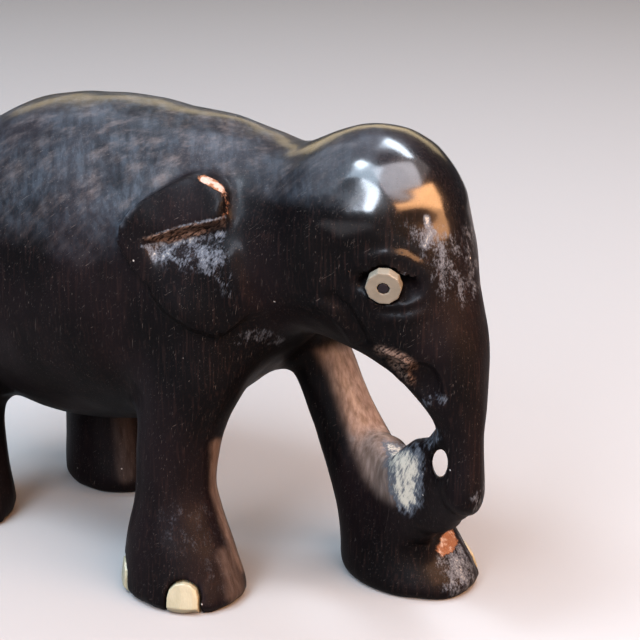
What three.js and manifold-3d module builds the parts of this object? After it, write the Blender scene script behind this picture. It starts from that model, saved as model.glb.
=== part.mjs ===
// A small walking elephant carved from one block of ebony, with bone eyes and bone toenails let into it.
// Millimetres, +Z up, +X towards the head, +Y the elephant's left.
// The origin is on the ground under the middle of the figure's box.
import * as THREE from "three";
import { mergeVertices } from "three/addons/utils/BufferGeometryUtils.js";
import Module from "manifold-3d";

const wasm = await Module();
wasm.setup();

// Driving size: the figure's standing height. The carving's stations are hundredths of it.
const standingHeight = 70;
const hundredth = standingHeight / 100;

// Inlay sizes, set by the bone stock and the drills, whatever the figure's height.
const eyeDiameter = 4.8;
const eyeThickness = 1.6;
const eyeProud = 0.25;
const pupilDiameter = 1.5;
const pupilDepth = 0.9;
const nailWidth = 4.6;
const nailHeight = 4.6;
const nailThickness = 2.4;
const nailProud = 0.2;
const glueGap = 0.3;

// How softly one limb runs into the next.
const limbBlend = 5;

// The faceted skin's cell size along each axis, as [from there on, cell], in hundredths of the height.
const farthest = -300;
const cellsForward = [[farthest, 7.1], [-39, 4]];
const cellsLeft = [[farthest, 5.1], [-9, 3.3], [17, 5.1]];
const cellsUp = [[farthest, 3.3], [9, 5.7], [19, 4], [40, 5.5]];
const earCells = [[farthest, 2.7]];
const tailCells = [[farthest, 2.1]];

const ebony = new THREE.MeshStandardMaterial({ color: "#17110f", roughness: 0.35, metalness: 0 });
const bone = new THREE.MeshStandardMaterial({ color: "#d3d1bb", roughness: 0.45, metalness: 0 });
const blackHorn = new THREE.MeshStandardMaterial({ color: "#1c171b", roughness: 0.5, metalness: 0 });

// Stations of each limb, in hundredths of the height:
// [forward, left, up, half-width across, half-depth in the side view].
const torso = [
  [-92, 0, 62, 18, 21],
  [-80, 0, 61, 28, 31],
  [-60, 0, 62.3, 31, 36],
  [-38, 0, 65.5, 30, 34.5],
  [-18, 0, 71.5, 25, 28],
  [0, 0, 76, 19, 19.3],
  [14, 0, 77.6, 17, 17.5],
];
const headAndTrunk = [
  [18.8, 0, 84, 16.5, 17.4],
  [23.6, 0, 72, 14.5, 17],
  [32.8, 0, 60, 9.8, 10.7],
  [37, 0, 51, 6.4, 6.9],
  [39.5, 0, 43, 4.3, 4.4],
  [39.9, 0, 37, 3.7, 3.7],
  [39.2, 0, 31, 3.7, 3.9],
];
const jaw = [
  [-2, 0, 73, 14, 9.5],
  [14, 0, 71.5, 12.5, 8.5],
  [25, 0, 69, 8, 6],
];

// Legs run from inside the body down to the sole, in level ovals:
// [forward, left, up, half-width across, half-length fore and aft].
const rightForeleg = [
  [-16, -12, 64, 12, 13],
  [-16, -14, 50, 10.5, 12.4],
  [-19, -16, 36, 8.8, 9],
  [-20.3, -16.8, 24, 8.4, 8.4],
  [-19.2, -17, 12, 10.2, 11.6],
  [-18, -17, 1.2, 11.6, 14.6],
];
const leftForeleg = [
  [-14, 14, 64, 9, 9],
  [-10, 16, 50, 7.6, 6.7],
  [-3.6, 17, 36, 7.2, 6.6],
  [4, 17.6, 21, 8.6, 8.5],
  [12, 17.6, 10, 10.8, 13.2],
  [16, 17.4, 1.2, 12, 16.4],
];
const rightHindleg = [
  [-81, -13, 60, 14, 16],
  [-82, -15.5, 44, 11, 11.4],
  [-84, -17.5, 28, 9.4, 9.8],
  [-85, -18, 17, 10, 10.4],
  [-85, -18, 1.8, 11.4, 13.4],
];
const leftHindleg = [
  [-73, 13, 60, 14, 17],
  [-72.5, 15.5, 44, 11, 12],
  [-72.5, 18, 28, 10.4, 10.8],
  [-72, 18.5, 15, 11, 11.6],
  [-71, 18.5, 1.8, 11.8, 13.6],
];
const soleRounding = 3;

// The web of wood that the carver left between the left foreleg and the trunk, and the eyelet through it.
const web = [
  [8, 15, 24, 4.5, 9],
  [19, 10, 20.8, 3.8, 9.2],
  [30, 5, 29.6, 3.4, 9.8],
  [38, 0.5, 36, 2.8, 7.4],
];
const eyelet = { at: [30.3, 5.7, 33.3], halfWidth: 1.6, halfHeight: 3, towards: [0.5, -0.77, 0.38] };
const eyeletReach = { in: 16, out: 12 };

// Where the eyes sit: on a probe that leaves the middle plane here and swings this far forward of sideways.
const eye = { forward: 20.4, up: 74.2, swing: THREE.MathUtils.degToRad(34) };
const lidHollow = { halfLength: 5.6, halfHeight: 1.7, depth: 3 };

// The broken mouth: a notch at the lip, and the empty socket behind it, in hundredths.
const lipNotch = { at: [28, 8.2, 56], size: [3.2, 3, 3.2] };
const tuskSocket = { at: [35, 8.6, 54], size: [4.2, 3, 5.4] };

// The tail hangs down the rump, its middle line on the surface, and ends in a tuft: [up, radius].
const tail = [[88, 2.6], [76, 2.6], [62, 2.5], [50, 2.6], [43, 3.6], [35, 2.2]];

// Two nails a foot, as turns from straight ahead towards the outer side.
const nailTurns = [58, 140].map(THREE.MathUtils.degToRad);
const nailBase = 0.3;

// A limb is a row of ellipses along a smooth line. Its field is negative inside the wood.
const roundness = 3;
function limb(stations, startCap, endCap, { level = false, squareness = 2 } = {}) {
  const centres = new THREE.CatmullRomCurve3(
    stations.map(([x, y, z]) => new THREE.Vector3(x, y, z).multiplyScalar(hundredth)),
  );
  const radii = new THREE.CatmullRomCurve3(
    stations.map(([, , , across, deep]) => new THREE.Vector3(across, deep, 0).multiplyScalar(hundredth)),
  );
  const count = (stations.length - 1) * roundness;
  const bones = [];
  for (let i = 0; i < count; i++) {
    const from = centres.getPoint(i / count);
    const run = centres.getPoint((i + 1) / count).sub(from);
    const along = level ? new THREE.Vector3(0, 0, -1) : run.clone().normalize();
    const across = new THREE.Vector3(0, 1, 0).addScaledVector(along, -along.y).normalize();
    bones.push({
      from, run, along, across,
      deep: along.clone().cross(across),
      length: run.dot(along),
      radiusFrom: radii.getPoint(i / count),
      radiusTo: radii.getPoint((i + 1) / count),
    });
  }
  return { bones, squareness, startCap: startCap * hundredth, endCap: endCap * hundredth };
}

const offset = new THREE.Vector3();
function limbField({ bones, squareness, startCap, endCap }, point) {
  let nearest = Infinity;
  for (const bone of bones) {
    offset.subVectors(point, bone.from);
    const along = offset.dot(bone.along);
    const share = THREE.MathUtils.clamp(along / bone.length, 0, 1);
    const across = THREE.MathUtils.lerp(bone.radiusFrom.x, bone.radiusTo.x, share);
    const deep = THREE.MathUtils.lerp(bone.radiusFrom.y, bone.radiusTo.y, share);
    const w = (along - share * bone.length) / (along < 0 ? startCap : endCap);
    offset.addScaledVector(bone.run, -share);
    const u = Math.abs(offset.dot(bone.across) / across);
    const v = Math.abs(offset.dot(bone.deep) / deep);
    const round = Math.hypot((u ** squareness + v ** squareness) ** (1 / squareness), w);
    nearest = Math.min(nearest, (round - 1) * Math.min(across, deep));
  }
  return nearest;
}

const smoothMin = (a, b, blend) => {
  const h = Math.max(blend - Math.abs(a - b), 0) / blend;
  return Math.min(a, b) - (h * h * blend) / 4;
};

const legs = [rightForeleg, leftForeleg, rightHindleg, leftHindleg];
const limbs = [
  limb(torso, 10, 6),
  limb(headAndTrunk, 17, 4),
  limb(jaw, 6, 6),
  ...legs.map((stations) => limb(stations, 8, soleRounding, { level: true })),
  limb(web, 3, 3, { squareness: 3.5 }),
];
const blends = [limbBlend, limbBlend, 3, 3.5, 3.5, 4.5, 4.5, 2];
function field(point) {
  let value = limbField(limbs[0], point);
  for (let i = 1; i < limbs.length; i++) value = smoothMin(value, limbField(limbs[i], point), blends[i]);
  return value;
}

function gradient(of, point, step = 0.05) {
  const g = new THREE.Vector3();
  for (const axis of ["x", "y", "z"]) {
    const a = point.clone();
    const b = point.clone();
    a[axis] += step;
    b[axis] -= step;
    g[axis] = (of(a) - of(b)) / (2 * step);
  }
  return g;
}

// Cell edges from one place to another, in hundredths of the height, given back in millimetres.
function ticks(from, to, cells) {
  const list = [from];
  while (list[list.length - 1] < to) {
    const last = list[list.length - 1];
    list.push(last + cells.findLast(([start]) => last >= start)[1]);
  }
  return list.map((tick) => tick * hundredth);
}

// A cell's eight corners, its twelve edges and its six faces, by corner number.
const corners = [0, 1, 2, 3, 4, 5, 6, 7].map((c) => [c & 1, (c >> 1) & 1, (c >> 2) & 1]);
const cubeEdges = [];
const cubeFaces = [];
for (let bit = 0; bit < 3; bit++) {
  for (let c = 0; c < 8; c++) if (!(c & (1 << bit))) cubeEdges.push([c, c | (1 << bit)]);
  const [u, v] = [1 << ((bit + 1) % 3), 1 << ((bit + 2) % 3)];
  for (const base of [0, 1 << bit]) cubeFaces.push([base, base | u, base | u | v, base | v]);
}

// Where two sheets of the surface pass through one cell, each gets its own vertex.
function sheets(inside) {
  const group = [0, 1, 2, 3, 4, 5, 6, 7];
  const join = (a, b) => {
    const [keep, drop] = [group[a], group[b]];
    for (let c = 0; c < 8; c++) if (group[c] === drop) group[c] = keep;
  };
  for (const [a, b] of cubeEdges) if (inside[a] === inside[b]) join(a, b);
  for (const [a, b, c, d] of cubeFaces) {
    if (inside[a] !== inside[c] || inside[b] !== inside[d] || inside[a] === inside[b]) continue;
    if (inside[a]) join(b, d);
    else join(a, c);
  }
  return (a, b) => (inside[a] ? group[a] * 8 + group[b] : group[b] * 8 + group[a]);
}

// A net of quads over the zero surface of a field, one vertex to a cell, closed off at the box's edge.
function surfaceNet(inBox, [xs, ys, zs]) {
  const [nx, ny, nz] = [xs.length, ys.length, zs.length];
  const at = (i, j, k) => i + nx * (j + ny * k);
  const values = new Float32Array(nx * ny * nz);
  const point = new THREE.Vector3();
  for (let k = 0; k < nz; k++)
    for (let j = 0; j < ny; j++)
      for (let i = 0; i < nx; i++) {
        const onEdge = !i || !j || !k || i === nx - 1 || j === ny - 1 || k === nz - 1;
        values[at(i, j, k)] = onEdge ? 1 : inBox(point.set(xs[i], ys[j], zs[k]));
      }

  const vertexOf = new Map();
  const positions = [];
  for (let k = 0; k < nz - 1; k++)
    for (let j = 0; j < ny - 1; j++)
      for (let i = 0; i < nx - 1; i++) {
        const inside = corners.map(([a, b, c]) => values[at(i + a, j + b, k + c)] < 0);
        const sheetOf = sheets(inside);
        const middles = new Map();
        for (const [a, b] of cubeEdges) {
          if (inside[a] === inside[b]) continue;
          const [p, q] = [corners[a], corners[b]];
          const va = values[at(i + p[0], j + p[1], k + p[2])];
          const vb = values[at(i + q[0], j + q[1], k + q[2])];
          const t = va / (va - vb);
          const sheet = sheetOf(a, b);
          if (!middles.has(sheet)) middles.set(sheet, { sum: new THREE.Vector3(), crossings: 0 });
          const middle = middles.get(sheet);
          middle.sum.x += THREE.MathUtils.lerp(xs[i + p[0]], xs[i + q[0]], t);
          middle.sum.y += THREE.MathUtils.lerp(ys[j + p[1]], ys[j + q[1]], t);
          middle.sum.z += THREE.MathUtils.lerp(zs[k + p[2]], zs[k + q[2]], t);
          middle.crossings++;
        }
        for (const [sheet, { sum, crossings }] of middles) {
          const vertex = sum.divideScalar(crossings);
          for (let pass = 0; pass < 2; pass++) {
            const slope = gradient(inBox, vertex);
            const step = -inBox(vertex) / Math.max(slope.lengthSq(), 0.2);
            vertex.addScaledVector(slope, THREE.MathUtils.clamp(step, -0.6, 0.6));
          }
          vertexOf.set(at(i, j, k) * 64 + sheet, positions.length / 3);
          positions.push(vertex.x, vertex.y, vertex.z);
        }
      }

  // The vertex, in the cell with its low corner at the given place, of the sheet that crosses an edge.
  const vertexAt = (i, j, k, from, to) => {
    const inside = corners.map(([a, b, c]) => values[at(i + a, j + b, k + c)] < 0);
    return vertexOf.get(at(i, j, k) * 64 + sheets(inside)(from, to));
  };

  const index = [];
  for (let k = 0; k < nz - 1; k++)
    for (let j = 0; j < ny - 1; j++)
      for (let i = 0; i < nx - 1; i++)
        for (let axis = 0; axis < 3; axis++) {
          const low = [i, j, k];
          const high = [i, j, k];
          high[axis]++;
          const inside = values[at(...low)] < 0;
          if (inside === values[at(...high)] < 0) continue;
          const [u, v] = [(axis + 1) % 3, (axis + 2) % 3];
          const ring = [[1, 1], [0, 1], [0, 0], [1, 0]].map(([du, dv]) => {
            const cell = [...low];
            cell[u] -= du;
            cell[v] -= dv;
            const from = (du << u) | (dv << v);
            return vertexAt(...cell, from, from | (1 << axis));
          });
          if (!inside) ring.reverse();
          const [a, b, c, d] = ring;
          const corner = (n) => new THREE.Vector3().fromArray(positions, n * 3);
          const shorterAC = corner(a).distanceTo(corner(c)) < corner(b).distanceTo(corner(d));
          if (shorterAC) index.push(a, b, c, a, c, d);
          else index.push(b, c, d, b, d, a);
        }
  const geometry = new THREE.BufferGeometry();
  geometry.setAttribute("position", new THREE.Float32BufferAttribute(positions, 3));
  geometry.setIndex(index);
  return geometry;
}

// manifold-3d wants each corner once. The net has that already, three's own shapes have not.
function closed(geometry) {
  return new wasm.Manifold(
    new wasm.Mesh({
      numProp: 3,
      vertProperties: geometry.attributes.position.array,
      triVerts: new Uint32Array(geometry.index.array),
    }),
  );
}

function solid(geometry) {
  const bare = geometry.clone();
  bare.deleteAttribute("normal");
  bare.deleteAttribute("uv");
  return closed(mergeVertices(bare, 1e-4));
}

function mesh(name, manifold, material) {
  const { vertProperties, triVerts, numProp } = manifold.getMesh();
  const positions = [];
  for (let i = 0; i < vertProperties.length; i += numProp)
    positions.push(vertProperties[i], vertProperties[i + 1], vertProperties[i + 2]);
  const geometry = new THREE.BufferGeometry();
  geometry.setAttribute("position", new THREE.Float32BufferAttribute(positions, 3));
  geometry.setIndex([...triVerts]);
  geometry.computeVertexNormals();
  const made = new THREE.Mesh(geometry, material);
  made.name = name;
  return made;
}

const up = new THREE.Vector3(0, 0, 1);
const place = (x, y, z) => new THREE.Vector3(x, y, z).multiplyScalar(hundredth);
const sides = { right: -1, left: 1 };

// Where a straight probe from inside the wood comes out, and which way the surface faces there.
function surfaceFrom(start, towards) {
  let [inside, outside] = [0, 60];
  for (let pass = 0; pass < 30; pass++) {
    const middle = (inside + outside) / 2;
    if (field(start.clone().addScaledVector(towards, middle)) < 0) inside = middle;
    else outside = middle;
  }
  const at = start.clone().addScaledVector(towards, inside);
  return { at, facing: gradient(field, at).normalize() };
}

// A frame on the surface: x sideways, y up along it, z straight out.
function frameOn(at, facing) {
  const sideways = up.clone().cross(facing).normalize();
  const upright = facing.clone().cross(sideways);
  return new THREE.Matrix4().makeBasis(sideways, upright, facing).setPosition(at);
}

// A flat outline, drawn in x sideways and y up, pushed through from depth below a point to height above it.
function prism(outline, at, facing, depth, height) {
  const shape = new THREE.Shape(outline);
  const geometry = new THREE.ExtrudeGeometry(shape, { depth: depth + height, bevelEnabled: false });
  return solid(geometry.translate(0, 0, -depth).applyMatrix4(frameOn(at, facing)));
}

function oval(halfWidth, halfHeight, segments) {
  const points = [];
  for (let i = 0; i < segments; i++) {
    const turn = (i / segments) * 2 * Math.PI;
    points.push(new THREE.Vector2(halfWidth * Math.cos(turn), halfHeight * Math.sin(turn)));
  }
  return points;
}

function ellipsoid(at, [rx, ry, rz]) {
  const geometry = new THREE.SphereGeometry(1, 12, 7);
  return solid(geometry.scale(rx, ry, rz).translate(at.x, at.y, at.z));
}

// Ears: a thick upper fold that runs on as a rim behind, over a flap that dips in under the fold.
// Outlines are [forward, up] in hundredths, on an upright plane that leans out towards the rear.
const earPlane = { front: 0.7, out: 21, lean: THREE.MathUtils.degToRad(18.5) };
const foldTop = [
  [-3.2, 86.9], [-4.4, 89], [-9.5, 90.9], [-13.3, 89.9], [-16.6, 88.1], [-20.5, 85.6],
  [-23.2, 83.1], [-25.2, 80.1], [-25.6, 77.2], [-22.4, 72.4], [-18, 68.4],
];
const earOutline = [
  ...foldTop, [-14.6, 64.8], [-9.7, 62], [-3.6, 60.3], [1.7, 65],
  [0.3, 70.4], [-0.7, 78.1], [-2, 83],
];
const foldOutline = [
  ...foldTop, [-15.6, 69.6], [-18.4, 73.6], [-20.6, 77.9], [-12, 81.1], [-3, 83.5],
];
const foldProud = { low: 1.1, high: 3, from: 70, to: 92 };
const flapProud = 1.3;
const flapDip = 0.6;
function ear(side) {
  const facing = new THREE.Vector3(Math.sin(earPlane.lean), side * Math.cos(earPlane.lean), 0);
  const at = place(earPlane.front, side * earPlane.out, 0);
  const forward = new THREE.Vector3(-facing.y, facing.x, 0).multiplyScalar(-side);
  const drawn = ([x, z]) => new THREE.Vector2(-side * x, z).multiplyScalar(hundredth);
  const cut = (outline) => prism(outline.map(drawn), at, facing, 7, 8);
  const box = [
    ticks(-31, 7, earCells),
    ticks(side < 0 ? -34 : 12, side < 0 ? -12 : 34, earCells),
    ticks(54, 96, earCells),
  ];
  const foldField = (p) => {
    const { low, high, from, to } = foldProud;
    return field(p) - THREE.MathUtils.mapLinear(p.z / hundredth, from, to, low, high);
  };
  const flapField = (p) => {
    const back = -p.clone().sub(at).dot(forward) / hundredth;
    const belowFold = 83.1 - 0.25 * back - p.z / hundredth;
    const rise = THREE.MathUtils.smoothstep(belowFold, -1, 7);
    return field(p) - THREE.MathUtils.lerp(-flapDip, flapProud, rise);
  };
  const fold = cut(foldOutline).intersect(closed(surfaceNet(foldField, box)));
  const flap = cut(earOutline).intersect(closed(surfaceNet(flapField, box)));
  return { fold, flap };
}

const grid = [
  ticks(-114, 52, cellsForward),
  ticks(-36, 36, cellsLeft),
  ticks(-10, 109, cellsUp),
];
let body = closed(surfaceNet(field, grid));
body = body.trimByPlane([0, 0, 1], 0);
for (const side of Object.values(sides)) {
  const { fold, flap } = ear(side);
  body = body.add(fold).add(flap);
}

const towards = new THREE.Vector3(...eyelet.towards).normalize();
const eyeletOutline = oval(eyelet.halfWidth * hundredth, eyelet.halfHeight * hundredth, 12);
body = body.subtract(prism(eyeletOutline, place(...eyelet.at), towards, eyeletReach.in, eyeletReach.out));

const tailLimb = limb(
  tail.map(([z, radius]) => {
    const { at } = surfaceFrom(place(-50, 0, z), new THREE.Vector3(-1, 0, 0));
    return [at.x / hundredth, 0, z, radius, radius];
  }),
  3,
  3,
);
const tailBox = [ticks(-114, -83, tailCells), ticks(-6, 6, tailCells), ticks(28, 95, tailCells)];
body = body.add(closed(surfaceNet((p) => limbField(tailLimb, p), tailBox)));

for (const side of Object.values(sides))
  for (const { at: [x, y, z], size } of [lipNotch, tuskSocket])
    body = body.subtract(ellipsoid(place(x, side * y, z), size.map((half) => half * hundredth)));

// An arch with its foot at the outline's own zero.
function arch(width, height, segments = 6) {
  const points = [new THREE.Vector2(width / 2, 0)];
  for (let i = 0; i <= segments; i++) {
    const turn = (i / segments) * Math.PI;
    const round = new THREE.Vector2(Math.cos(turn), Math.sin(turn)).multiplyScalar(width / 2);
    points.push(round.add(new THREE.Vector2(0, height - width / 2)));
  }
  points.push(new THREE.Vector2(-width / 2, 0));
  return points;
}

const elephant = new THREE.Group();
const whole = body;
const feet = {
  right_fore: rightForeleg,
  left_fore: leftForeleg,
  right_hind: rightHindleg,
  left_hind: leftHindleg,
};
for (const [foot, stations] of Object.entries(feet)) {
  const [x, y, , across, deep] = stations[stations.length - 1];
  const side = Math.sign(y);
  const centre = place(x, y, 0).setZ(nailBase + nailHeight / 2);
  for (const [number, turn] of nailTurns.entries()) {
    const out = new THREE.Vector3(Math.cos(turn) * deep, side * Math.sin(turn) * across, 0).normalize();
    const { at, facing } = surfaceFrom(centre, out);
    facing.setZ(0).normalize();
    at.setZ(nailBase);
    const nail = prism(arch(nailWidth, nailHeight), at, facing, nailThickness, 3).intersect(whole);
    const notchWidth = nailWidth + 2 * glueGap;
    const notchHeight = nailHeight + glueGap + 3;
    const notch = arch(notchWidth, notchHeight);
    const belowSole = at.clone().setZ(nailBase - 3);
    body = body.subtract(prism(notch, belowSole, facing, nailThickness + glueGap, 3));
    const proud = facing.clone().multiplyScalar(nailProud);
    elephant.add(mesh(`toenail_${foot}_${number ? "rear" : "front"}`, nail.translate(...proud), bone));
  }
}

for (const [name, side] of Object.entries(sides)) {
  const out = new THREE.Vector3(Math.sin(eye.swing), side * Math.cos(eye.swing), 0);
  const { at, facing } = surfaceFrom(place(eye.forward, 0, eye.up).addScaledVector(out, 2), out);
  const hollow = new THREE.SphereGeometry(1, 14, 8);
  hollow.scale(lidHollow.halfLength, lidHollow.halfHeight, lidHollow.depth);
  hollow.applyMatrix4(frameOn(at, facing));
  body = body.subtract(solid(hollow));
  const seat = oval(eyeDiameter / 2 + glueGap, eyeDiameter / 2 + glueGap, 12);
  body = body.subtract(prism(seat, at, facing, eyeThickness, 3));
  const pupilHole = pupilDiameter / 2 + glueGap;
  const rim = oval(eyeDiameter / 2, eyeDiameter / 2, 10);
  const disc = prism(rim, at, facing, eyeThickness - glueGap, eyeProud);
  const drilled = disc.subtract(prism(oval(pupilHole, pupilHole, 8), at, facing, pupilDepth, 3));
  const round = oval(pupilDiameter / 2, pupilDiameter / 2, 8);
  const pupil = prism(round, at, facing, pupilDepth - glueGap, eyeProud);
  elephant.add(mesh(`eye_${name}`, drilled, bone));
  elephant.add(mesh(`pupil_${name}`, pupil, blackHorn));
}
elephant.add(mesh("elephant_body", body, ebony));

const box = new THREE.Box3().setFromObject(elephant);
elephant.position.set(-(box.min.x + box.max.x) / 2, -(box.min.y + box.max.y) / 2, -box.min.z);
elephant.updateMatrixWorld(true);
export default elephant;
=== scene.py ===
"""A small walking elephant of polished ebony with bone eyes and toenails, on a pale studio floor."""

import math

import bpy
import bmesh
import numpy as np
from mathutils import Euler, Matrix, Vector
from mathutils.kdtree import KDTree


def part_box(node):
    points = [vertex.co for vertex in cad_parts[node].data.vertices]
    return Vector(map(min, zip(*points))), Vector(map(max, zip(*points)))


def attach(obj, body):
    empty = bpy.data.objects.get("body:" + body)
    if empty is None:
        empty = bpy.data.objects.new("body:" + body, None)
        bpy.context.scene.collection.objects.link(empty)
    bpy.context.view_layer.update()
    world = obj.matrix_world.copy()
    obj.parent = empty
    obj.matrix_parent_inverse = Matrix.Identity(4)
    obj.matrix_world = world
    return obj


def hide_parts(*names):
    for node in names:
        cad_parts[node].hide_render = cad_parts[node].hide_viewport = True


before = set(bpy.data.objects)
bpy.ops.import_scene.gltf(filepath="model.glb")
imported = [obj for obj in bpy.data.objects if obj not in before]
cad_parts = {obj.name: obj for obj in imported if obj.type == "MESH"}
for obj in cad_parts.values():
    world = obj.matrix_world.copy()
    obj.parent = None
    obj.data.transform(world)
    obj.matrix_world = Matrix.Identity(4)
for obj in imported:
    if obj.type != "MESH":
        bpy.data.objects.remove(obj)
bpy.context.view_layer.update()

mm = 0.001

# The camera stands in front of the elephant's right shoulder and looks a little down.
camera_place = Vector((166.76, -186.88, 118.1)) * mm
camera_turn = math.radians(37.3)
camera_dip = math.radians(18)
picture_width = 640
focal_pixels = 1764
sensor_width = 36


# Hand tools


def only(piece):
    bpy.ops.object.select_all(action="DESELECT")
    piece.select_set(True)
    bpy.context.view_layer.objects.active = piece


def apply_modifier(piece, kind, **settings):
    only(piece)
    modifier = piece.modifiers.new(kind.title(), kind)
    for name, value in settings.items():
        setattr(modifier, name, value)
    bpy.ops.object.modifier_apply(modifier=modifier.name)


def copy_of(node, name):
    """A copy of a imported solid, with its loose triangles merged into one skin."""
    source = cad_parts[node]
    piece = bpy.data.objects.new(name, source.data.copy())
    bpy.context.scene.collection.objects.link(piece)
    only(piece)
    piece.data.materials.clear()
    bpy.ops.object.mode_set(mode="EDIT")
    bpy.ops.mesh.select_all(action="SELECT")
    bpy.ops.mesh.remove_doubles(threshold=0.001 * mm)
    bpy.ops.mesh.normals_make_consistent(inside=False)
    bpy.ops.object.mode_set(mode="OBJECT")
    return piece


def places(piece):
    """The skin's vertices, a row for each."""
    spots = np.empty(len(piece.data.vertices) * 3)
    piece.data.vertices.foreach_get("co", spots)
    return spots.reshape(-1, 3)


def outward(piece):
    """Which way the skin faces at each vertex."""
    ways = np.empty(len(piece.data.vertices) * 3)
    piece.data.vertex_normals.foreach_get("vector", ways)
    return ways.reshape(-1, 3)


def put_places(piece, spots):
    piece.data.vertices.foreach_set("co", np.ascontiguousarray(spots).ravel())
    piece.data.update()


def ease(low, high, value):
    """0 at low and 1 at high, with a smooth rise between them."""
    share = np.clip((value - low) / (high - low), 0, 1)
    return share * share * (3 - 2 * share)


def weigh(piece, name, weights):
    """A vertex group with one weight for each vertex, in twentieths."""
    finest = 20
    group = piece.vertex_groups.new(name=name)
    steps = np.round(weights * finest).astype(int)
    for step in range(1, finest + 1):
        group.add(np.nonzero(steps == step)[0].tolist(), step / finest, "REPLACE")


def smooth(piece, rounds, group=""):
    apply_modifier(piece, "SMOOTH", factor=0.5, iterations=rounds, vertex_group=group)


def mellow(piece, rounds, group=""):
    """Smooths the skin twice, the second time what the first took off, so that thin limbs stay as thick."""
    start = places(piece)
    smooth(piece, rounds, group)
    soft = places(piece)
    put_places(piece, start - soft)
    smooth(piece, rounds, group)
    put_places(piece, soft + places(piece))


def polish(piece, weights, rounds):
    weigh(piece, "polish", weights)
    smooth(piece, rounds, "polish")
    piece.vertex_groups.clear()


def push(piece, amount, way=None):
    """Moves the skin by so many millimetres, outwards or along a given way."""
    ways = outward(piece) if way is None else way
    put_places(piece, places(piece) + ways * (amount * mm)[:, None])


def finished(piece, *nodes, slot):
    only(piece)
    bpy.ops.object.shade_smooth_by_angle(angle=math.radians(40))
    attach(piece, "root")
    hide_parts(*nodes)


# The camera

lens = bpy.data.cameras.new("camera")
lens.sensor_width = sensor_width
lens.lens = focal_pixels / picture_width * sensor_width
lens.clip_start = 0.01
camera = bpy.data.objects.new("camera", lens)
camera.location = camera_place
camera.rotation_euler = Euler((math.pi / 2 - camera_dip, 0, camera_turn))
bpy.context.scene.collection.objects.link(camera)
bpy.context.scene.camera = camera

# What both sides have alike is drawn over the right side, as the camera sees it, and carved on both.
camera_axes = np.array(Euler((math.pi / 2 - camera_dip, 0, camera_turn)).to_matrix())


def in_picture(spots):
    """Where points fall in the 640-pixel picture."""
    seen = (spots - np.array(camera_place)) @ camera_axes
    scale = -focal_pixels / seen[:, 2]
    return np.stack([picture_width / 2 + seen[:, 0] * scale, picture_width / 2 - seen[:, 1] * scale], -1)


def folded(spots, sides=None):
    """Both sides laid over the right one."""
    side = spots[:, 1:2] if sides is None else sides[:, 1:2]
    return spots * np.where(side > 0, (1, -1, 1), (1, 1, 1))


def turned_to_camera(piece, mirrored=True):
    """1 where the skin, or its mirrored left side, faces the camera and 0 where it turns away."""
    spots, ways = places(piece), outward(piece)
    if mirrored:
        spots, ways = folded(spots), folded(ways, spots)
    sight = np.array(camera_place) - spots
    sight /= np.linalg.norm(sight, axis=1, keepdims=True)
    return ease(0.0, 0.2, (ways * sight).sum(1))


def from_line(points, line):
    """How far points lie from a drawn line, how far along it from 0 to 1, and on which side."""
    corners = np.array(line, float)
    lengths = np.linalg.norm(np.diff(corners, axis=0), axis=1)
    best = np.full(len(points), 1e9)
    along = np.zeros(len(points))
    side = np.zeros(len(points))
    for number, (start, end) in enumerate(zip(corners, corners[1:])):
        run = (end - start) / lengths[number]
        offset = points - start
        share = np.clip(offset @ run / lengths[number], 0, 1)
        away = np.linalg.norm(offset - (share * lengths[number])[:, None] * run, axis=1)
        nearer = away < best
        best[nearer] = away[nearer]
        along[nearer] = ((lengths[:number].sum() + share * lengths[number]) / lengths.sum())[nearer]
        side[nearer] = np.sign(run[0] * offset[:, 1] - run[1] * offset[:, 0])[nearer]
    return best, along, side


def inside(points, outline, soft):
    """1 inside a drawn outline and 0 outside, with a soft edge."""
    corners = np.array(outline, float)
    odd = np.zeros(len(points), bool)
    for start, end in zip(corners, np.roll(corners, -1, axis=0)):
        rise = end[1] - start[1] if end[1] != start[1] else 1
        crosses = (start[1] > points[:, 1]) != (end[1] > points[:, 1])
        odd ^= crosses & (points[:, 0] < start[0] + (points[:, 1] - start[1]) * (end[0] - start[0]) / rise)
    edge = from_line(points, [*outline, outline[0]])[0]
    return ease(-soft, soft, np.where(odd, edge, -edge))


def carve(piece, line, width, depth, ends=0.12):
    """Ploughs a groove so many pixels wide and millimetres deep, or with a negative depth raises a ridge."""
    spots = folded(places(piece))
    away, along, _ = from_line(in_picture(spots), line)
    profile = (1 - ease(0, width, away)) * ease(0, ends, along) * ease(0, ends, 1 - along)
    push(piece, -depth * profile * turned_to_camera(piece) * (spots[:, 1] < -1.5 * mm))


# The ebony body

body = copy_of("elephant_body", "body_wood")

# Edges that the carver cut on purpose stay crisp: round the ears, inlays, eyelet and mouth.
ear_zone = (Vector((2.5, 11, 39)) * mm, Vector((24, 21, 66)) * mm)
eyelet_place = np.array((42.4, 4, 23.3)) * mm
eyelet_way = np.array((0.5, -0.77, 0.38)) / np.linalg.norm((0.5, -0.77, 0.38))
eyelet_reach = 2.3 * mm
mouth_place = Vector((43.4, 6, 38.3)) * mm
mouth_reach = 6 * mm
eye_reach = 4 * mm
nail_reach = 1.5 * mm
crisp_angle = math.radians(36)
cut_step = 0.4 * mm
crisp_width = 0.2 * mm
soft_width = 1.6 * mm
skin_cell = 0.42 * mm
skin_rounds = 66


def near(spot, low, high, margin):
    return all(low[axis] - margin < spot[axis] < high[axis] + margin for axis in range(3))


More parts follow.
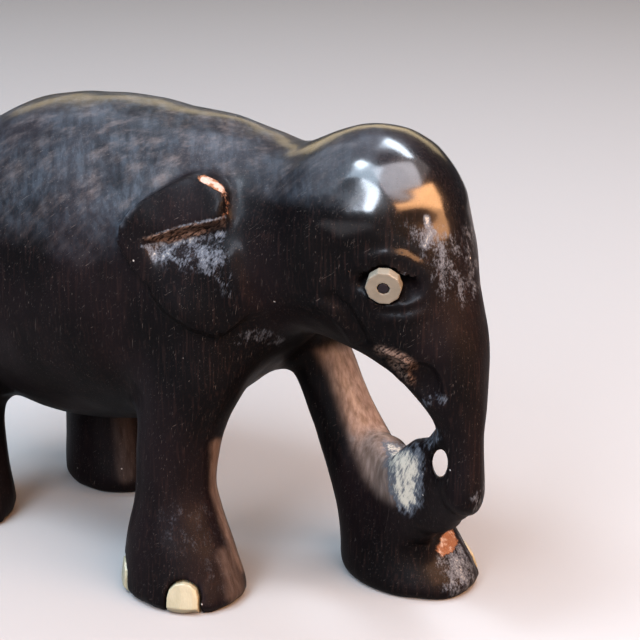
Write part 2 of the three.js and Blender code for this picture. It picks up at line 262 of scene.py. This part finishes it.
def is_cut(spot):
    mirrored = Vector((spot.x, abs(spot.y), spot.z))
    if near(mirrored, *ear_zone, 1 * mm) or (mirrored - mouth_place).length < mouth_reach:
        return True
    if np.linalg.norm(np.cross(np.array(spot) - eyelet_place, eyelet_way)) < eyelet_reach:
        return True
    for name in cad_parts:
        margin = eye_reach if name.startswith("eye") else nail_reach
        if name != "elephant_body" and near(spot, *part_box(name), margin):
            return True
    return False


skin = bmesh.new()
skin.from_mesh(body.data)
cut_spots = []
for edge in skin.edges:
    if len(edge.link_faces) == 2 and edge.calc_face_angle() > crisp_angle:
        start, end = (vertex.co for vertex in edge.verts)
        if is_cut((start + end) / 2):
            steps = max(1, round((end - start).length / cut_step))
            cut_spots += [start.lerp(end, step / steps) for step in range(steps + 1)]
skin.free()
cuts = KDTree(len(cut_spots))
for number, spot in enumerate(cut_spots):
    cuts.insert(spot, number)
cuts.balance()

apply_modifier(body, "REMESH", mode="VOXEL", voxel_size=skin_cell, adaptivity=0)
from_cut = np.array([cuts.find(spot)[2] for spot in places(body)])
weigh(body, "smooth", ease(crisp_width, soft_width, from_cut))
mellow(body, skin_rounds, "smooth")
body.vertex_groups.clear()
smooth(body, 2)

# The ears. Each is drawn on an upright plane, in millimetres forward and up, as if it were the right one.
ear_place = np.array((21.65, -14.7, 0)) * mm
ear_lean = math.radians(18.5)
ear_forward = np.array((math.cos(ear_lean), math.sin(ear_lean), 0))
ear_out = np.array((math.sin(ear_lean), -math.cos(ear_lean), 0))
fold_front = [(-3.1, 62.3), (-2.2, 60.8), (-2.1, 58.5)]
fold_under = [(-14.4, 54.5), (-8.4, 56.8), (-2.1, 58.5)]
rim_inside = [(-10.9, 48.7), (-12.9, 51.5), (-14.4, 54.5)]
flap_front = [(1.2, 45.5), (0.2, 49.3), (-0.3, 52)]
flap_foot = [(-12.6, 47.9), (-10.2, 45.4), (-6.8, 43.4), (-3.4, 42.4)]
fold_to_neck = [(-0.6, 57), (0.8, 55.4), (1.6, 53)]
within_rim = (-9, 53)
flap_middle = (-7, 53)
before_flap = (4, 52)
below_flap = (-8, 41)
ear_from_middle = 8
ear_depth = 8
steep = 2.5


def in_ear_plane(piece):
    """Each point's place on the ear's plane, and how far it stands out from it, in millimetres."""
    offset = (folded(places(piece)) - ear_place) / mm
    return np.stack([offset @ ear_forward, offset[:, 2]], -1), offset @ ear_out


def beside(points, line):
    """How far points lie along a drawn line, across it with a sign for the side, and past its ends."""
    away, along, side = from_line(points, line)
    corners = np.array(line, float)
    into = (corners[1] - corners[0]) / np.linalg.norm(corners[1] - corners[0])
    out_of = (corners[-1] - corners[-2]) / np.linalg.norm(corners[-1] - corners[-2])
    before = np.where(along <= 0, (corners[0] - points) @ into, 0)
    after = np.where(along >= 1, (points - corners[-1]) @ out_of, 0)
    past = np.clip(before + after, 0, away)
    return along, side * np.sqrt(away ** 2 - past ** 2), past


def ramp_from(piece, edge, towards, slope, reach):
    """Fills the step beside a drawn edge with a slope that falls on the side of a given point."""
    drawn, out = in_ear_plane(piece)
    along, across, past = beside(drawn, edge)
    across *= np.sign(beside(np.array([towards], float), edge)[1][0])
    on_ear = (folded(places(piece))[:, 1] < -ear_from_middle * mm) & (out > -ear_depth)
    rim = on_ear & (across < -0.25) & (across > -0.9) & (past == 0)
    shares = np.linspace(0.05, 0.95, 10)
    top = np.interp(along, shares, [out[rim & (abs(along - share) < 0.08)].mean() for share in shares])
    target = top - slope * np.maximum(across, 0) - steep * np.maximum(-across, 0) - steep * past
    rise = np.where(on_ear, np.maximum(target - out, 0), 0)
    rise *= 1 - ease(0.6 * reach, reach, np.hypot(across, past))
    way = np.where(places(piece)[:, 1:2] > 0, ear_out * (1, -1, 1), ear_out)
    push(piece, rise, way)


def soften_edge(piece, edge, width, rounds):
    drawn, _ = in_ear_plane(piece)
    away, _, _ = from_line(drawn, edge)
    on_ear = folded(places(piece))[:, 1] < -ear_from_middle * mm
    polish(piece, (1 - ease(0.4 * width, width, away)) * on_ear, rounds)


ramp_from(body, rim_inside, within_rim, 0.7, 3)
ramp_from(body, flap_front, before_flap, 0.8, 3)
ramp_from(body, flap_foot, below_flap, 0.9, 3)
ramp_from(body, fold_under, flap_middle, 1.5, 3)
soften_edge(body, fold_front, 2.6, 24)
soften_edge(body, flap_front, 2.6, 24)
soften_edge(body, rim_inside, 2.4, 20)
soften_edge(body, flap_foot, 1.2, 6)
soften_edge(body, fold_under, 1, 2)
soften_edge(body, fold_to_neck, 4.5, 60)

# The eye: its hollow is closed behind the bone disc and opened in front of it, under a low brow.
brow = [(352, 266), (366, 259), (388, 255), (406, 258), (420, 268), (428, 284)]
brow_shade = [(x, y - 10) for x, y in brow]
eye_hollow = [(398, 262), (410, 262), (421, 270), (426, 284), (420, 295), (406, 301), (399, 298)]
lower_lid = [(366, 307), (384, 312), (404, 312), (422, 306), (432, 298)]
lid_shade = [(x + 3, y + 9) for x, y in lower_lid]
eye_middle = (382, 286)
disc_radius = 20
head_starts = 30 * mm
eye_rounds = 70

pixels = in_picture(folded(places(body)))
on_head = turned_to_camera(body) * (places(body)[:, 0] > head_starts)
off_disc = np.linalg.norm(pixels - eye_middle, axis=1) / disc_radius
polish(body, ease(1.0, 1.15, off_disc) * (1 - ease(2.1, 2.9, off_disc)) * on_head, eye_rounds)
push(body, -0.3 * inside(pixels, eye_hollow, 8) * on_head * ease(1.02, 1.15, off_disc))
carve(body, brow, 9, -0.18, ends=0.3)
carve(body, brow_shade, 10, 0.15, ends=0.3)
carve(body, lower_lid, 5, 0.2, ends=0.3)
carve(body, lid_shade, 7, -0.15, ends=0.3)

# A faint edge ends the forehead across the front.
forehead_edge = [(380, 206), (402, 208), (420, 208), (438, 212), (456, 224)]
carve(body, forehead_edge, 16, -0.12, ends=0.45)

# The cheek's crease, the splintered lip, and the broken hollow where a tusk was.
cheek_edge = [(312, 300), (334, 312), (346, 327), (358, 346)]
cheek_shade = [(326, 290), (346, 308), (356, 325), (368, 348)]
lip_edge = [(379, 350), (390, 353), (402, 358), (413, 366)]
lip_splinters = [(392, 360), (398, 366), (404, 373), (410, 380)]
tusk_hollow = [(413, 364), (425, 362), (438, 370), (446, 386), (445, 402), (432, 400), (420, 386)]
carve(body, cheek_edge, 8, -0.4)
carve(body, cheek_shade, 9, 0.45)
push(body, -0.22 * inside(in_picture(folded(places(body))), tusk_hollow, 10) * turned_to_camera(body))
carve(body, lip_edge, 3.5, -0.35)
carve(body, lip_splinters, 3, -0.3)

# The knife left the skin a little uneven.
knife_stroke = 9 * mm
knife_depth = 0.5 * mm
knife = bpy.data.textures.new("knife_facets", "CLOUDS")
knife.noise_scale = knife_stroke
knife.noise_depth = 1
apply_modifier(body, "DISPLACE", texture=knife, strength=knife_depth, mid_level=0.5, texture_coords="LOCAL")

# Where the skin is plain it needs fewer faces than round the cuts and on the right of the head and neck.
forward, left, height = places(body).T / mm
on_right_head = (forward > 28) * (height > 33) * (left < 0)
on_right_neck = (forward > 2) * (forward < 26) * (height > 38) * (left < 0)
detail = np.maximum.reduce([1 - ease(2 * mm, 4 * mm, from_cut), on_right_head, on_right_neck])
weigh(body, "plain", 1 - 0.97 * detail)
face_limit = 196000
faces = sum(len(face.vertices) - 2 for face in body.data.polygons)
apply_modifier(body, "DECIMATE", ratio=face_limit / faces, vertex_group="plain", vertex_group_factor=1)
body.vertex_groups.clear()


# The bone and horn inlays

drill_radius = 1.05
drawn_in_to = 1.8
peg_radius = 0.84
peg_cell = 0.09 * mm
bone_cell = 0.14 * mm


def inlay(node):
    piece = copy_of(node, node + "_inlay")
    cell = peg_cell if node.startswith("pupil") else bone_cell
    apply_modifier(piece, "REMESH", mode="VOXEL", voxel_size=cell, adaptivity=0)
    mellow(piece, 3)
    return piece


def close_on_peg(disc, peg):
    """Draws the drilled hole of an eye in until the peg fills it."""
    around = places(disc) - places(disc).mean(0)
    axis = np.linalg.eigh(around.T @ around)[1][:, 0]
    offset = places(disc) - places(peg).mean(0)
    flat = offset - (offset @ axis)[:, None] * axis
    radius = np.linalg.norm(flat, axis=1) / mm
    shrink = (1 - ease(drill_radius, drawn_in_to, radius)) * (1 - peg_radius / drill_radius)
    put_places(disc, places(disc) - flat * shrink[:, None])


inlays = {}
for node in sorted(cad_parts):
    if node != "elephant_body":
        inlays[node] = inlay(node)
for side in ("left", "right"):
    close_on_peg(inlays["eye_" + side], inlays["pupil_" + side])


# Wear and dirt, drawn where the camera sees them and laid on both sides where both have them; among them are
# painted highlights and reflections.

ear_chip = [(197, 177), (204, 175), (214, 179), (223, 186), (226, 192), (220, 192), (210, 186), (201, 182)]
ear_chip_trail = [(223, 192), (226, 204), (225, 216)]
eye_chip = (348, 273)
toe_orange_reflection = [(434, 550), (442, 534), (452, 528), (459, 540), (454, 552), (442, 558)]
flap_dust = [(140, 246), (160, 243), (190, 238), (223, 232), (228, 255), (233, 302), (222, 288), (200, 272),
             (160, 264)]
flap_corner = [(142, 245), (160, 244), (182, 242), (174, 256), (160, 264), (150, 258)]
flap_edge_highlight = [(144, 247), (164, 244), (190, 240), (222, 234)]
face_dust = [(418, 216), (440, 218), (458, 235), (458, 266), (442, 276), (427, 262), (428, 240)]
face_smear = [(427, 220), (432, 232), (428, 246)]
web_highlight = [(386, 444), (399, 446), (411, 450), (420, 456), (420, 480), (418, 506), (410, 514), (400, 506),
            (390, 486)]
web_crest_highlight = [(411, 452), (424, 444), (436, 434)]
leg_reflection = [(318, 352), (352, 346), (374, 395), (392, 432), (400, 452), (394, 502), (380, 494), (366, 476),
           (354, 445), (342, 408), (330, 372)]
trunk_tip_highlight = [(468, 486), (482, 488), (482, 510), (473, 514)]
tusk_dust = [(426, 402), (436, 398), (444, 400)]
chest_dust = [(238, 338), (258, 334), (278, 340)]
face_film = [(392, 222), (440, 216), (470, 240), (478, 310), (446, 306), (424, 276)]
shin_reflection = [(218, 446), (218, 490), (230, 530), (244, 566)]
toe_reflection = [(226, 556), (234, 578), (236, 596)]
hind_reflection = [(121, 410), (124, 440), (126, 474)]
toe_dust = [(434, 562), (446, 548), (462, 530), (478, 566), (476, 594), (452, 600), (440, 582)]
foot_dust = [(160, 500), (214, 496), (246, 556), (246, 596), (214, 606), (196, 566), (150, 556)]


def paint(piece, name, values):
    layer = piece.data.attributes.new(name, "FLOAT", "POINT")
    layer.data.foreach_set("value", np.clip(values, 0, 1).astype(np.float32))


def stroke(points, line, width):
    """1 along a drawn line, fading out to this width."""
    return 1 - ease(0.3 * width, width, from_line(points, line)[0])


spots = places(body)
forward, left, height = spots.T / mm
pixels = in_picture(folded(spots))
own_pixels = in_picture(spots)
drawn, _ = in_ear_plane(body)
on_ear = (abs(left) > ear_from_middle) * (forward < 32)
on_face = (forward > 32) * turned_to_camera(body)
seen = turned_to_camera(body, mirrored=False)
left_foreleg = (left > 3) * (forward > 0) * (height < 45) * seen
right_foreleg = (left < 0) * (forward < 30) * seen
on_web = (left < 13) * (left > -3) * (height < 32) * seen

along, below, past = beside(drawn, fold_under)
below *= np.sign(beside(np.array([flap_middle], float), fold_under)[1][0])
beside_fold = on_ear * (past < 0.1)
strip_width = 1.75 * ease(0, 0.3, along) * (1 - 0.3 * ease(0.6, 1, along)) * ease(0, 0.04, 1 - along)
strip = beside_fold * ease(-0.3, -0.05, below) * (1 - ease(strip_width - 0.25, strip_width + 0.1, below))
# Painted highlight: a pale line along the fold's lower edge.
fold_edge_highlight = beside_fold * ease(-0.5, -0.3, below) * (1 - ease(-0.15, 0.05, below)) * ease(0.1, 0.3, along)
uncut_ear = on_ear * (1 - strip)
splinters = np.maximum(stroke(pixels, lip_edge, 7), stroke(pixels, lip_splinters, 7)) * on_face
paint(body, "cut_wood", np.maximum(strip * (1 - 0.7 * ease(0.62, 0.85, along)), splinters))

paint(body, "raw_wood", np.maximum.reduce([
    inside(pixels, ear_chip, 3) * on_ear,
    0.34 * stroke(pixels, ear_chip_trail, 7) * on_ear,
    0.25 * (1 - ease(2, 7, np.linalg.norm(pixels - eye_chip, axis=1))) * on_face,
    # Painted reflection: an orange patch on the left toe, in the colours of bare wood.
    0.62 * inside(own_pixels, toe_orange_reflection, 4) * left_foreleg,
]))

paint(body, "dust_and_highlights", np.maximum.reduce([
    0.36 * inside(pixels, flap_dust, 15) * uncut_ear,
    0.48 * inside(pixels, flap_corner, 6) * uncut_ear,
    # Painted highlights: pale lines along the flap's top edge, which also holds some dust, and along the
    # fold's lower edge.
    0.5 * stroke(pixels, flap_edge_highlight, 6) * uncut_ear,
    0.5 * fold_edge_highlight,
    0.32 * inside(pixels, face_dust, 8) * on_face,
    0.24 * inside(pixels, face_film, 14) * on_face,
    0.58 * stroke(pixels, face_smear, 8) * on_face,
    # Painted highlight on the trunk's tip: a pale blue-grey patch that is partly dust.
    0.3 * inside(pixels, trunk_tip_highlight, 4) * on_face,
    0.28 * stroke(pixels, tusk_dust, 9) * on_face,
    0.32 * stroke(pixels, chest_dust, 11) * (forward < 32),
    # Painted highlight: the web's pale face and crest, drawn in the colours of caked dust.
    1.0 * inside(own_pixels, web_highlight, 12) * on_web,
    0.35 * stroke(own_pixels, web_crest_highlight, 12) * on_web,
    0.42 * inside(own_pixels, toe_dust, 12) * left_foreleg,
    0.12 * inside(own_pixels, foot_dust, 16) * right_foreleg,
]))

# Painted reflection: tan streaks on the legs and feet, where the polished wood mirrors warm surroundings.
paint(body, "tan_reflection", np.maximum.reduce([
    inside(own_pixels, leg_reflection, 9) * left_foreleg,
    0.6 * stroke(own_pixels, shin_reflection, 11) * right_foreleg,
    0.28 * stroke(own_pixels, toe_reflection, 14) * right_foreleg,
    0.2 * stroke(own_pixels, hind_reflection, 14) * (left > 0) * (forward < 0) * seen,
]))

# Hands have polished the crown and the ridge of the back most.
crown = [(228, 150), (300, 118), (400, 104), (490, 150), (490, 236), (458, 225), (440, 211), (421, 208),
         (394, 209), (372, 228), (340, 236), (300, 214), (262, 198), (232, 190)]
on_crown = inside(pixels, crown, 5) * ease(20, 28, forward) * ease(44, 50, height)
ridge = 0.6 * (1 - ease(6, 11, abs(left))) * ease(50, 60, height)
least_polish = 0.05
paint(body, "polish", np.maximum(np.maximum(on_crown, ridge), least_polish))

# The grease of the back has never reached the face, the ears or the legs. The film is kept off the side of
# the neck as painted shade, and it grows from the rump towards the shoulders as a painted sheen.
shaded_neck_side = [(228, 188), (262, 196), (300, 204), (345, 216), (385, 230), (385, 380), (228, 380)]
ear_outline = [(-17.9, 54), (-14.4, 60.2), (-9.3, 63.4), (-5, 63.6), (-2, 61.5), (1.2, 45), (-4, 41.5),
               (-13, 47)]
whole_ear = inside(drawn, ear_outline, 0.5) * on_ear
neck_shade = inside(pixels, shaded_neck_side, 9) * (forward > 12)
greasy_unshaded = 1 - np.maximum.reduce([whole_ear, neck_shade, ease(34, 42, forward)])
sheen_along_back = (0.2 + 0.8 * ease(-60, 5, forward)) * (1 - 0.45 * ease(8, 20, forward))
paint(body, "grease_and_sheen", greasy_unshaded * ease(24, 36, height) * sheen_along_back)


# Finishes


def linear(hex_colour):
    """An sRGB hex colour as Blender's linear red, green, blue and alpha."""
    channels = [int(hex_colour[start:start + 2], 16) / 255 for start in (1, 3, 5)]
    return [part / 12.92 if part <= 0.04045 else ((part + 0.055) / 1.055) ** 2.4 for part in channels] + [1.0]


class Finish:
    """A material under construction."""

    def __init__(self, name):
        self.material = bpy.data.materials.new(name)
        self.material.use_nodes = True
        self.tree = self.material.node_tree
        self.tree.nodes.clear()
        self.surface = self.node("ShaderNodeBsdfPrincipled")
        output = self.node("ShaderNodeOutputMaterial")
        self.tree.links.new(self.surface.outputs["BSDF"], output.inputs["Surface"])
        self.place = self.node("ShaderNodeTexCoord").outputs["Object"]

    def node(self, kind, settings=None, inputs=None):
        """Adds a node with its settings, and its inputs by name or number."""
        made = self.tree.nodes.new(kind)
        for name, value in (settings or {}).items():
            setattr(made, name, value)
        for key, value in (inputs or {}).items():
            if isinstance(value, bpy.types.NodeSocket):
                self.tree.links.new(value, made.inputs[key])
            else:
                made.inputs[key].default_value = value
        return made

    def set(self, **inputs):
        for name, value in inputs.items():
            socket = self.surface.inputs[name.replace("_", " ")]
            if isinstance(value, bpy.types.NodeSocket):
                self.tree.links.new(value, socket)
            else:
                socket.default_value = value

    def stretched(self, size, turn=(0, 0, 0)):
        """Object coordinates for a pattern whose grains have this size in millimetres."""
        return self.node("ShaderNodeMapping", {"vector_type": "TEXTURE"}, {
            "Vector": self.place, "Rotation": turn, "Scale": [length * mm for length in size],
        }).outputs[0]

    def noise(self, size, turn=(0, 0, 0), detail=3, roughness=0.55):
        place = self.stretched(size, turn)
        return self.node("ShaderNodeTexNoise", None, {
            "Vector": place, "Scale": 1, "Detail": detail, "Roughness": roughness,
        }).outputs["Fac"]

    def share(self, value, low, high):
        """Turns a pattern's range from low to high into 0 to 1."""
        return self.node("ShaderNodeMapRange", {"interpolation_type": "SMOOTHSTEP"}, {
            "Value": value, "From Min": low, "From Max": high,
        }).outputs[0]

    def maths(self, operation, first, second):
        return self.node("ShaderNodeMath", {"operation": operation}, {0: first, 1: second}).outputs[0]

    def scaled(self, value, factor, shift):
        inputs = {0: value, 1: factor, 2: shift}
        return self.node("ShaderNodeMath", {"operation": "MULTIPLY_ADD"}, inputs).outputs[0]

    def times(self, *values):
        product = values[0]
        for value in values[1:]:
            product = self.maths("MULTIPLY", product, value)
        return product

    def painted(self, name):
        return self.node("ShaderNodeAttribute", {"attribute_name": name}).outputs["Fac"]

    def colour(self, share, under, over):
        return self.node("ShaderNodeMix", {"data_type": "RGBA"}, {0: share, 6: under, 7: over}).outputs[2]

    def number(self, share, under, over):
        return self.node("ShaderNodeMix", {"data_type": "FLOAT"}, {0: share, 2: under, 3: over}).outputs[0]

    def relief(self, height, depth, under=None):
        inputs = {"Height": height, "Distance": depth * mm, "Strength": 1}
        if under:
            inputs["Normal"] = under
        return self.node("ShaderNodeBump", None, inputs).outputs[0]


# Oiled and hand-rubbed: near black and glossy, with brown fibres that show where the rubbing was hard.
ebony = Finish("ebony_oiled_and_rubbed")
fibre = ebony.share(ebony.noise((0.35, 0.35, 7), detail=4), 0.5, 0.72)
heartwood = ebony.share(ebony.noise((14, 14, 26), detail=2), 0.4, 0.68)
wood = ebony.colour(heartwood, linear("#040304"), linear("#0e090b"))
wood = ebony.colour(ebony.times(fibre, 0.4), wood, linear("#231917"))
# Painted reflection: streaky tan on the legs, standing in for warm surroundings mirrored by the polished
# wood.
reflection_streaks = ebony.share(ebony.noise((0.9, 0.9, 5), detail=5, roughness=0.6), 0.2, 0.8)
tan_reflection = ebony.colour(reflection_streaks, linear("#54473f"), linear("#746862"))
wood = ebony.colour(ebony.times(ebony.painted("tan_reflection"), ebony.number(reflection_streaks, 0.75, 1.0)), wood, tan_reflection)

# Shelf dust and handling grease lie on what faces up, wiped in slanting strokes. The grey-blue film is also a
# painted sheen of the sky light on the back.
facing = ebony.node("ShaderNodeNewGeometry").outputs["Normal"]
up = ebony.node("ShaderNodeSeparateXYZ", None, {0: facing}).outputs[2]
film_patches = ebony.share(ebony.noise((8, 8, 6), detail=5, roughness=0.65), 0.34, 0.66)
wiped = ebony.share(ebony.noise((1.0, 6, 1.4), (0.5, 0.35, 0.9), detail=5, roughness=0.65), 0.38, 0.66)
lying_film_and_sheen = ebony.times(ebony.share(up, 0.1, 0.5), ebony.painted("grease_and_sheen"))
film_and_sheen = ebony.times(lying_film_and_sheen, ebony.number(wiped, 0.45, 1.0), ebony.number(film_patches, 0.35, 1.0))
wood = ebony.colour(ebony.times(film_and_sheen, 0.62), wood, linear("#3b4249"))
smears = ebony.share(ebony.noise((2.2, 2, 9), (0, 0.7, 0.3), detail=6, roughness=0.7), 0.44, 0.8)
wood = ebony.colour(ebony.times(smears, lying_film_and_sheen, 0.45), wood, linear("#5a5452"))

# Caked dust has ragged edges: thin and slate grey at first, pale where it is thick. The same colours paint
# highlights on the ear's edges, the web and the trunk's tip.
streaks = ebony.share(ebony.noise((0.3, 0.3, 1.8), (0.2, 0.5, 0), detail=5, roughness=0.7), 0.3, 0.7)
clumps = ebony.share(ebony.noise((1.5, 1.5, 2.5), detail=4, roughness=0.65), 0.34, 0.66)
dust_and_highlights = ebony.painted("dust_and_highlights")
caked = ebony.scaled(ebony.number(0.5, streaks, clumps), 0.75, ebony.maths("SUBTRACT", dust_and_highlights, 0.4))
thin_dust = ebony.times(ebony.share(caked, 0.16, 0.6), ebony.share(dust_and_highlights, 0.02, 0.25))
thick_dust = ebony.share(caked, 0.55, 1.0)
wood = ebony.colour(thin_dust, wood, linear("#464a50"))
wood = ebony.colour(thick_dust, wood, linear("#989489"))

# Fine scratches run in two directions, and a few specks of lint lie about.
scratch_down = ebony.share(ebony.noise((0.14, 0.14, 3.4), (0.15, 0.25, 0), detail=2), 0.66, 0.74)
scratch_over = ebony.share(ebony.noise((2.4, 0.12, 0.12), (0.2, -0.6, 0.3), detail=2), 0.68, 0.75)
scratches = ebony.maths("MAXIMUM", scratch_down, scratch_over)
wood = ebony.colour(ebony.times(scratches, 0.26), wood, linear("#6c645e"))
lint_cells = ebony.node("ShaderNodeTexVoronoi", {"feature": "F1"}, {
    "Vector": ebony.stretched((4.5, 4.5, 4.5)), "Scale": 1,
}).outputs["Distance"]
lint = ebony.times(ebony.share(lint_cells, 0.04, 0.02), ebony.share(ebony.noise((6, 6, 6)), 0.46, 0.54))
wood = ebony.colour(ebony.times(lint, 0.7), wood, linear("#8f8b86"))

# Cut and broken places show bare fibres, and the same colours paint an orange reflection on the left toe.
cut = ebony.painted("cut_wood")
rough_fibre = ebony.noise((0.3, 0.3, 1.1), (0, 0.9, 0), detail=4)
bare = ebony.colour(ebony.share(rough_fibre, 0.35, 0.65), linear("#130d0b"), linear("#564840"))
wood = ebony.colour(cut, wood, bare)
crumbs = ebony.noise((0.7, 0.7, 0.7), detail=4, roughness=0.7)
chipped = ebony.painted("raw_wood")
ragged = ebony.share(ebony.maths("ADD", chipped, ebony.maths("SUBTRACT", crumbs, 0.5)), 0.3, 0.5)
raw = ebony.times(ragged, ebony.share(chipped, 0.02, 0.3))
chip_patches = ebony.maths("ADD", ebony.noise((1.1, 1.1, 1.1), detail=3), ebony.scaled(chipped, 0.4, -0.36))
fresh = ebony.share(chip_patches, 0.38, 0.56)
wood = ebony.colour(raw, wood, ebony.colour(fresh, linear("#604433"), linear("#7f7169")))

# Handling shines the wood, and dust, scratches and bare fibres dull it.
handled = ebony.number(ebony.noise((4, 4, 4), detail=3), 0.46, 0.6)
handled = ebony.maths("SUBTRACT", handled, ebony.times(ebony.painted("polish"), 0.16))
worn = ebony.number(ebony.times(film_and_sheen, 0.8), handled, 0.55)
worn = ebony.number(thin_dust, worn, 0.62)
bared = ebony.maths("MAXIMUM", cut, raw)
worn = ebony.number(bared, worn, 0.85)
dulled = ebony.maths("MAXIMUM", bared, ebony.maths("MAXIMUM", thin_dust, ebony.times(scratches, 0.6)))
clean = ebony.maths("SUBTRACT", 1, dulled)
facets = ebony.relief(ebony.noise((2.6, 2.6, 5), detail=2), 0.05)
grain = ebony.relief(fibre, 0.008, facets)
scored = ebony.relief(scratches, -0.012, grain)
ebony.set(
    Base_Color=wood,
    Roughness=ebony.number(scratches, worn, 0.5),
    Normal=ebony.relief(ebony.times(rough_fibre, bared), 0.25, scored),
    Specular_IOR_Level=0.08,
    Coat_Weight=ebony.times(ebony.painted("polish"), clean, ebony.number(film_patches, 1.0, 0.75)),
    Coat_Roughness=0.18,
)
body.data.materials.append(ebony.material)


# Filed and waxed bone: cream, a little grey where fingers left dirt, with short dark pores.
bone = Finish("bone_filed_and_waxed")
pores = bone.share(bone.noise((0.12, 0.12, 0.9), detail=3), 0.62, 0.72)
tint = bone.colour(bone.noise((1.6, 1.6, 1.6), detail=3), linear("#686450"), linear("#7e7b6b"))
bone.set(
    Base_Color=bone.colour(bone.times(pores, 0.3), tint, linear("#6f6654")),
    Roughness=bone.number(bone.noise((0.8, 0.8, 0.8)), 0.35, 0.55),
    Normal=bone.relief(bone.noise((0.25, 0.25, 0.8)), 0.03),
    Specular_IOR_Level=0.5,
)

# The eyes' bone is never rubbed clean, so it has greyed and gone dull.
eye_bone = Finish("eye_bone_greyed")
tint = eye_bone.colour(eye_bone.noise((1.8, 1.8, 1.8), detail=3), linear("#4c483f"), linear("#68645a"))
eye_bone.set(
    Base_Color=tint,
    Roughness=0.5,
    Normal=eye_bone.relief(eye_bone.noise((0.3, 0.3, 0.3)), 0.03),
)

# Horn, cut and left unpolished: dull black, with hardly a highlight.
horn = Finish("horn_pegs_dull")
horn.set(
    Base_Color=horn.colour(horn.noise((0.3, 0.3, 0.3)), linear("#0c090c"), linear("#1a151b")),
    Roughness=0.5,
    Specular_IOR_Level=0.25,
)

for node, piece in inlays.items():
    made_of = horn if node.startswith("pupil") else eye_bone if node.startswith("eye") else bone
    piece.data.materials.append(made_of.material)
    finished(piece, node, slot="pupil_horn" if node.startswith("pupil") else "bone")
finished(body, "elephant_body", slot="ebony")


# The floor and the lights

bpy.ops.object.select_all(action="DESELECT")
bpy.ops.mesh.primitive_plane_add(size=8)
floor = bpy.context.object
floor.name = "floor"
# Matt painted board: it shows soft shadows and no reflection.
pale = Finish("pale_studio_floor")
pale.set(Base_Color=linear("#787776"), Roughness=0.9, Specular_IOR_Level=0.1)
floor.data.materials.append(pale.material)

stage_middle = Vector((20, 0, 45)) * mm


def soft_light(name, azimuth, height, distance, size, brightness, colour):
    """A soft box: degrees round from the right side towards the head, degrees up, and metres off."""
    around, up = math.radians(azimuth), math.radians(height)
    away = Vector((math.sin(around) * math.cos(up), -math.cos(around) * math.cos(up), math.sin(up)))
    light = bpy.data.lights.new(name, "AREA")
    light.shape = "RECTANGLE"
    light.size, light.size_y = size
    light.energy = brightness * math.pi * size[0] * size[1]
    light.color = linear(colour)[:3]
    lamp = bpy.data.objects.new(name, light)
    lamp.location = stage_middle + away * distance
    lamp.rotation_euler = (-away).to_track_quat("-Z", "Y").to_euler()
    bpy.context.scene.collection.objects.link(lamp)


soft_light("sky_panel", -70, 60, 0.9, (1.3, 0.9), 1.4, "#d3dff2")
soft_light("ceiling_panel", 118, 58, 0.9, (0.7, 0.6), 2, "#eadfdc")
soft_light("high_window", -25, 64, 0.8, (0.24, 0.2), 29, "#e6f3ff")
soft_light("side_window", 12, 29, 0.8, (0.26, 0.32), 30, "#e6f1ff")
soft_light("window_glow", -2, 55, 0.85, (0.56, 0.46), 11, "#cfe4f7")
soft_light("wall_glow", 66, 55, 0.85, (0.8, 0.5), 10, "#dedce4")
soft_light("back_window", 178, 66, 0.8, (0.44, 0.15), 26, "#e4f1ff")
soft_light("warm_lamp", 82, 25, 0.8, (1.1, 0.28), 21, "#ffbf89")
soft_light("tan_wall", -146, 20, 0.9, (1.0, 0.2), 2.6, "#cbb893")

world = bpy.data.worlds.new("studio")
world.use_nodes = True
world.node_tree.nodes["Background"].inputs["Color"].default_value = linear("#c9d2e0")
world.node_tree.nodes["Background"].inputs["Strength"].default_value = 0.12
bpy.context.scene.world = world

# Blacks stay deep, and what the polish reflects goes nearly white.
bpy.context.scene.view_settings.view_transform = "Standard"
bpy.context.scene.view_settings.look = "Medium High Contrast"
